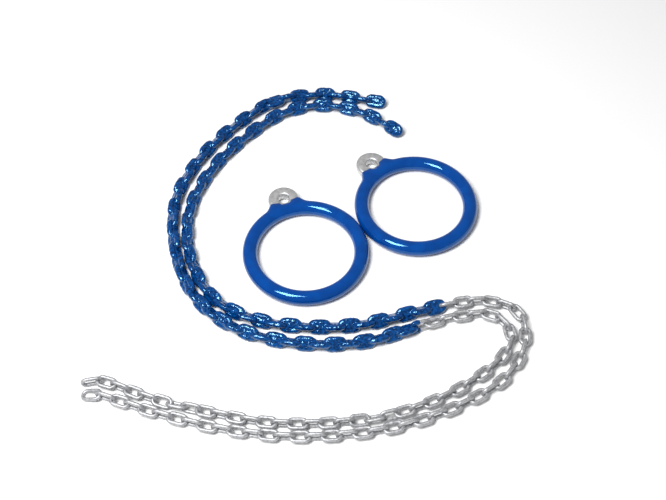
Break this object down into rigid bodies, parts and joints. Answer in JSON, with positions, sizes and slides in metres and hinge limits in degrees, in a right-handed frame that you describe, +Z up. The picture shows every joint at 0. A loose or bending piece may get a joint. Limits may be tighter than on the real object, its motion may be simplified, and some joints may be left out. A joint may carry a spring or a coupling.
{
  "type": "gymnastics rings with chains",
  "caption": "Coated metal gymnastics rings with cast eyes, and hanging chains that are part plastic-coated and part bare, all lying loose on one surface.",
  "frame": {"origin": "on the floor plane, in the middle of the whole layout seen from above", "axes": "+Z up from the floor; +X to the viewer's right and +Y away from the viewer, who looks at the layout from its open side"},
  "size_m": [0.7241, 0.741, 0.0254],
  "materials": {
    "cast_aluminium": "satin as-cast aluminium",
    "ring_plastisol": "glossy blue plastisol dip, soft and thick",
    "galvanised_steel": "dull zinc-plated steel wire",
    "chain_plastisol": "glossy dark blue plastisol dip"
  },
  "bodies": {
    "left_ring": {"left_ring_core": "cast_aluminium", "left_ring_coat": "ring_plastisol"},
    "right_ring": {"right_ring_core": "cast_aluminium", "right_ring_coat": "ring_plastisol"},
    "outer_chain_coated_end_link": {"outer_chain_coated_end_link": "chain_plastisol"},
    "outer_chain_coated_run_01": {"outer_chain_coated_run_01": "chain_plastisol"},
    "outer_chain_coated_run_02": {"outer_chain_coated_run_02": "chain_plastisol"},
    "outer_chain_coated_run_03": {"outer_chain_coated_run_03": "chain_plastisol"},
    "outer_chain_coated_run_04": {"outer_chain_coated_run_04": "chain_plastisol"},
    "outer_chain_coated_run_05": {"outer_chain_coated_run_05": "chain_plastisol"},
    "outer_chain_coated_run_06": {"outer_chain_coated_run_06": "chain_plastisol"},
    "outer_chain_coated_run_07": {"outer_chain_coated_run_07": "chain_plastisol"},
    "outer_chain_coated_run_08": {"outer_chain_coated_run_08": "chain_plastisol"},
    "outer_chain_coated_run_09": {"outer_chain_coated_run_09": "chain_plastisol"},
    "outer_chain_bare_run_10": {"outer_chain_bare_run_10": "galvanised_steel"},
    "outer_chain_bare_run_11": {"outer_chain_bare_run_11": "galvanised_steel"},
    "outer_chain_bare_run_12": {"outer_chain_bare_run_12": "galvanised_steel"},
    "outer_chain_bare_run_13": {"outer_chain_bare_run_13": "galvanised_steel"},
    "outer_chain_bare_run_14": {"outer_chain_bare_run_14": "galvanised_steel"},
    "outer_chain_bare_run_15": {"outer_chain_bare_run_15": "galvanised_steel"},
    "outer_chain_bare_run_16": {"outer_chain_bare_run_16": "galvanised_steel"},
    "outer_chain_bare_run_17": {"outer_chain_bare_run_17": "galvanised_steel"},
    "outer_chain_bare_run_18": {"outer_chain_bare_run_18": "galvanised_steel"},
    "outer_chain_bare_run_19": {"outer_chain_bare_run_19": "galvanised_steel"},
    "outer_chain_bare_end_link": {"outer_chain_bare_end_link": "galvanised_steel"},
    "inner_chain_coated_end_link": {"inner_chain_coated_end_link": "chain_plastisol"},
    "inner_chain_coated_run_01": {"inner_chain_coated_run_01": "chain_plastisol"},
    "inner_chain_coated_run_02": {"inner_chain_coated_run_02": "chain_plastisol"},
    "inner_chain_coated_run_03": {"inner_chain_coated_run_03": "chain_plastisol"},
    "inner_chain_coated_run_04": {"inner_chain_coated_run_04": "chain_plastisol"},
    "inner_chain_coated_run_05": {"inner_chain_coated_run_05": "chain_plastisol"},
    "inner_chain_coated_run_06": {"inner_chain_coated_run_06": "chain_plastisol"},
    "inner_chain_coated_run_07": {"inner_chain_coated_run_07": "chain_plastisol"},
    "inner_chain_coated_run_08": {"inner_chain_coated_run_08": "chain_plastisol"},
    "inner_chain_coated_run_09": {"inner_chain_coated_run_09": "chain_plastisol"},
    "inner_chain_bare_run_10": {"inner_chain_bare_run_10": "galvanised_steel"},
    "inner_chain_bare_run_11": {"inner_chain_bare_run_11": "galvanised_steel"},
    "inner_chain_bare_run_12": {"inner_chain_bare_run_12": "galvanised_steel"},
    "inner_chain_bare_run_13": {"inner_chain_bare_run_13": "galvanised_steel"},
    "inner_chain_bare_run_14": {"inner_chain_bare_run_14": "galvanised_steel"},
    "inner_chain_bare_run_15": {"inner_chain_bare_run_15": "galvanised_steel"},
    "inner_chain_bare_run_16": {"inner_chain_bare_run_16": "galvanised_steel"},
    "inner_chain_bare_run_17": {"inner_chain_bare_run_17": "galvanised_steel"},
    "inner_chain_bare_run_18": {"inner_chain_bare_run_18": "galvanised_steel"},
    "inner_chain_bare_run_19": {"inner_chain_bare_run_19": "galvanised_steel"},
    "inner_chain_bare_end_link": {"inner_chain_bare_end_link": "galvanised_steel"}
  },
  "joints": [
    {"name": "right_ring_picked_up", "type": "slide", "parent": "left_ring", "child": "right_ring", "axis": [0, 0, 1], "range_m": [0, 0.15]},
    {"name": "outer_chain_picked_up", "type": "slide", "parent": "left_ring", "child": "outer_chain_bare_run_11", "axis": [0, 0, 1], "range_m": [0, 0.15]},
    {"name": "outer_run_12_lift", "type": "hinge", "parent": "outer_chain_bare_run_11", "child": "outer_chain_bare_run_12", "pos_m": [0.32798, -0.18652, 0.0108], "axis": [-0.993, 0.1178, 0], "range_deg": [0, 25]},
    {"name": "outer_run_13_lift", "type": "hinge", "parent": "outer_chain_bare_run_12", "child": "outer_chain_bare_run_13", "pos_m": [0.26476, -0.25772, 0.0108], "axis": [-0.593, 0.8052, 0], "range_deg": [0, 25]},
    {"name": "outer_run_14_lift", "type": "hinge", "parent": "outer_chain_bare_run_13", "child": "outer_chain_bare_run_14", "pos_m": [0.18061, -0.30481, 0.0108], "axis": [-0.3868, 0.9222, 0], "range_deg": [0, 25]},
    {"name": "outer_run_15_lift", "type": "hinge", "parent": "outer_chain_bare_run_14", "child": "outer_chain_bare_run_15", "pos_m": [0.09094, -0.33051, 0.00852], "axis": [-0.1617, 0.9868, 0], "range_deg": [0, 20]},
    {"name": "outer_run_16_lift", "type": "hinge", "parent": "outer_chain_bare_run_15", "child": "outer_chain_bare_run_16", "pos_m": [-0.00215, -0.33847, 0.0108], "axis": [-0.0127, 0.9999, 0], "range_deg": [0, 25]},
    {"name": "outer_run_17_lift", "type": "hinge", "parent": "outer_chain_bare_run_16", "child": "outer_chain_bare_run_17", "pos_m": [-0.09835, -0.33086, 0.0108], "axis": [0.193, 0.9812, 0], "range_deg": [0, 25]},
    {"name": "outer_run_18_lift", "type": "hinge", "parent": "outer_chain_bare_run_17", "child": "outer_chain_bare_run_18", "pos_m": [-0.19562, -0.30812, 0.01021], "axis": [0.2464, 0.9692, 0], "range_deg": [0, 25]},
    {"name": "outer_run_19_lift", "type": "hinge", "parent": "outer_chain_bare_run_18", "child": "outer_chain_bare_run_19", "pos_m": [-0.29019, -0.27645, 0.0108], "axis": [0.3883, 0.9216, 0], "range_deg": [0, 25]},
    {"name": "outer_bare_end_lift", "type": "hinge", "parent": "outer_chain_bare_run_19", "child": "outer_chain_bare_end_link", "pos_m": [-0.33566, -0.26087, 0.0108], "axis": [0.052, 0.9986, 0], "range_deg": [0, 25]},
    {"name": "outer_run_10_lift", "type": "hinge", "parent": "outer_chain_bare_run_11", "child": "outer_chain_bare_run_10", "pos_m": [0.26536, -0.13624, 0.0108], "axis": [-0.1448, 0.9895, 0], "range_deg": [0, 25]},
    {"name": "outer_run_09_lift", "type": "hinge", "parent": "outer_chain_bare_run_10", "child": "outer_chain_coated_run_09", "pos_m": [0.16906, -0.16212, 0.01021], "axis": [-0.0671, 0.9977, 0], "range_deg": [0, 18]},
    {"name": "outer_run_08_lift", "type": "hinge", "parent": "outer_chain_coated_run_09", "child": "outer_chain_coated_run_08", "pos_m": [0.053, -0.19325, 0.01042], "axis": [0.1581, 0.9874, 0], "range_deg": [0, 18]},
    {"name": "outer_run_07_lift", "type": "hinge", "parent": "outer_chain_coated_run_08", "child": "outer_chain_coated_run_07", "pos_m": [-0.06698, -0.1829, 0.01042], "axis": [0.3599, 0.933, 0], "range_deg": [0, 18]},
    {"name": "outer_run_06_lift", "type": "hinge", "parent": "outer_chain_coated_run_07", "child": "outer_chain_coated_run_06", "pos_m": [-0.17151, -0.12545, 0.01042], "axis": [0.7129, 0.7013, 0], "range_deg": [0, 18]},
    {"name": "outer_run_05_lift", "type": "hinge", "parent": "outer_chain_coated_run_06", "child": "outer_chain_coated_run_05", "pos_m": [-0.22807, -0.02023, 0.01042], "axis": [0.9644, 0.2643, 0], "range_deg": [0, 18]},
    {"name": "outer_run_04_lift", "type": "hinge", "parent": "outer_chain_coated_run_05", "child": "outer_chain_coated_run_04", "pos_m": [-0.24008, 0.09937, 0.01042], "axis": [0.9923, -0.1238, 0], "range_deg": [0, 18]},
    {"name": "outer_run_03_lift", "type": "hinge", "parent": "outer_chain_coated_run_04", "child": "outer_chain_coated_run_03", "pos_m": [-0.19641, 0.21118, 0.01042], "axis": [0.8551, -0.5184, 0], "range_deg": [0, 18]},
    {"name": "outer_run_02_lift", "type": "hinge", "parent": "outer_chain_coated_run_03", "child": "outer_chain_coated_run_02", "pos_m": [-0.11972, 0.30419, 0.01042], "axis": [0.6877, -0.726, 0], "range_deg": [0, 18]},
    {"name": "outer_run_01_lift", "type": "hinge", "parent": "outer_chain_coated_run_02", "child": "outer_chain_coated_run_01", "pos_m": [-0.01338, 0.35661, 0.01042], "axis": [0.1587, -0.9873, 0], "range_deg": [0, 18]},
    {"name": "outer_coated_end_lift", "type": "hinge", "parent": "outer_chain_coated_run_01", "child": "outer_chain_coated_end_link", "pos_m": [0.10555, 0.34388, 0.01042], "axis": [-0.2403, -0.9707, 0], "range_deg": [0, 18]},
    {"name": "inner_chain_picked_up", "type": "slide", "parent": "left_ring", "child": "inner_chain_bare_run_11", "axis": [0, 0, -1], "range_m": [-0.15, 0]},
    {"name": "inner_run_12_lift", "type": "hinge", "parent": "inner_chain_bare_run_11", "child": "inner_chain_bare_run_12", "pos_m": [0.34812, -0.19375, 0.0108], "axis": [0.9735, -0.2286, 0], "range_deg": [-25, 0]},
    {"name": "inner_run_13_lift", "type": "hinge", "parent": "inner_chain_bare_run_12", "child": "inner_chain_bare_run_13", "pos_m": [0.29363, -0.27226, 0.0108], "axis": [0.6207, -0.784, 0], "range_deg": [-25, 0]},
    {"name": "inner_run_14_lift", "type": "hinge", "parent": "inner_chain_bare_run_13", "child": "inner_chain_bare_run_14", "pos_m": [0.20861, -0.31889, 0.0108], "axis": [0.4036, -0.9149, 0], "range_deg": [-25, 0]},
    {"name": "inner_run_15_lift", "type": "hinge", "parent": "inner_chain_bare_run_14", "child": "inner_chain_bare_run_15", "pos_m": [0.11624, -0.34828, 0.0108], "axis": [0.2045, -0.9789, 0], "range_deg": [-25, 0]},
    {"name": "inner_run_16_lift", "type": "hinge", "parent": "inner_chain_bare_run_15", "child": "inner_chain_bare_run_16", "pos_m": [0.0199, -0.36002, 0.0108], "axis": [0.0538, -0.9986, 0], "range_deg": [-25, 0]},
    {"name": "inner_run_17_lift", "type": "hinge", "parent": "inner_chain_bare_run_16", "child": "inner_chain_bare_run_17", "pos_m": [-0.07704, -0.35657, 0.0108], "axis": [-0.1178, -0.993, 0], "range_deg": [-25, 0]},
    {"name": "inner_run_18_lift", "type": "hinge", "parent": "inner_chain_bare_run_17", "child": "inner_chain_bare_run_18", "pos_m": [-0.17244, -0.33859, 0.0108], "axis": [-0.2386, -0.9711, 0], "range_deg": [-25, 0]},
    {"name": "inner_run_19_lift", "type": "hinge", "parent": "inner_chain_bare_run_18", "child": "inner_chain_bare_run_19", "pos_m": [-0.2653, -0.31029, 0.0108], "axis": [-0.3377, -0.9413, 0], "range_deg": [-25, 0]},
    {"name": "inner_bare_end_lift", "type": "hinge", "parent": "inner_chain_bare_run_19", "child": "inner_chain_bare_end_link", "pos_m": [-0.3278, -0.28773, 0.0108], "axis": [-0.2232, -0.9748, 0], "range_deg": [-25, 0]},
    {"name": "inner_run_10_lift", "type": "hinge", "parent": "inner_chain_bare_run_11", "child": "inner_chain_bare_run_10", "pos_m": [0.3161, -0.11414, 0.0108], "axis": [-0.2903, -0.957, 0], "range_deg": [-25, 0]},
    {"name": "inner_run_09_lift", "type": "hinge", "parent": "inner_chain_bare_run_10", "child": "inner_chain_coated_run_09", "pos_m": [0.2173, -0.11907, 0.01021], "axis": [0.1373, -0.9905, 0], "range_deg": [-12, 0]},
    {"name": "inner_run_08_lift", "type": "hinge", "parent": "inner_chain_coated_run_09", "child": "inner_chain_coated_run_08", "pos_m": [0.10056, -0.15233, 0.01042], "axis": [-0.1478, -0.989, 0], "range_deg": [-18, 0]},
    {"name": "inner_run_07_lift", "type": "hinge", "parent": "inner_chain_coated_run_08", "child": "inner_chain_coated_run_07", "pos_m": [-0.02019, -0.15905, 0.01042], "axis": [-0.3979, -0.9174, 0], "range_deg": [-18, 0]},
    {"name": "inner_run_06_lift", "type": "hinge", "parent": "inner_chain_coated_run_07", "child": "inner_chain_coated_run_06", "pos_m": [-0.13536, -0.1245, 0.01042], "axis": [-0.604, -0.797, 0], "range_deg": [-18, 0]},
    {"name": "inner_run_05_lift", "type": "hinge", "parent": "inner_chain_coated_run_06", "child": "inner_chain_coated_run_05", "pos_m": [-0.20259, -0.02637, 0.01042], "axis": [-0.9516, -0.3073, 0], "range_deg": [-18, 0]},
    {"name": "inner_run_04_lift", "type": "hinge", "parent": "inner_chain_coated_run_05", "child": "inner_chain_coated_run_04", "pos_m": [-0.21087, 0.09348, 0.01042], "axis": [-0.9803, 0.1976, 0], "range_deg": [-18, 0]},
    {"name": "inner_run_03_lift", "type": "hinge", "parent": "inner_chain_coated_run_04", "child": "inner_chain_coated_run_03", "pos_m": [-0.16183, 0.20378, 0.01042], "axis": [-0.8265, 0.5629, 0], "range_deg": [-18, 0]},
    {"name": "inner_run_02_lift", "type": "hinge", "parent": "inner_chain_coated_run_03", "child": "inner_chain_coated_run_02", "pos_m": [-0.08091, 0.2939, 0.01042], "axis": [-0.6379, 0.7702, 0], "range_deg": [-18, 0]},
    {"name": "inner_run_01_lift", "type": "hinge", "parent": "inner_chain_coated_run_02", "child": "inner_chain_coated_run_01", "pos_m": [0.03114, 0.33122, 0.01042], "axis": [0.1039, 0.9946, 0], "range_deg": [-18, 0]},
    {"name": "inner_coated_end_lift", "type": "hinge", "parent": "inner_chain_coated_run_01", "child": "inner_chain_coated_end_link", "pos_m": [0.13968, 0.28094, 0.01042], "axis": [0.6335, 0.7737, 0], "range_deg": [-18, 0]}
  ]
}
